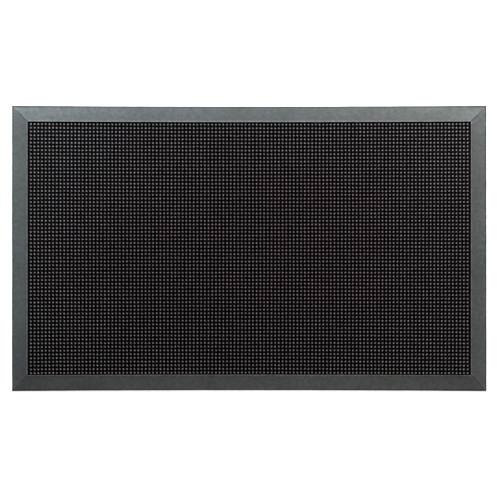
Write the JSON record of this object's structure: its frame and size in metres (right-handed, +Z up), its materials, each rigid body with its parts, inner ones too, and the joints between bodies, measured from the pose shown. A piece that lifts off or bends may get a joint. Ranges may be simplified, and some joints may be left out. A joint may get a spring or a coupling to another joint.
{
  "type": "rubber pin door mat",
  "caption": "Rectangular rubber door mat: a field of short upright scraper pins framed by mitred, sloping ramp borders.",
  "frame": {"origin": "centre of the mat's underside, on the floor", "axes": "+X along the long side towards border_right, +Y along the short side towards border_back, +Z up towards the pin tips"},
  "size_m": [0.762, 0.4572, 0.01],
  "materials": {
    "border_rubber": "matte, finely grained dark grey rubber",
    "pin_rubber": "smooth black rubber, slightly shiny at the pin tips",
    "backing_rubber": "matte black rubber"
  },
  "bodies": {
    "root": {"backing_sheet": "backing_rubber", "pin_panel": "pin_rubber", "border_front": "border_rubber", "border_back": "border_rubber", "border_left": "border_rubber", "border_right": "border_rubber"}
  },
  "joints": []
}
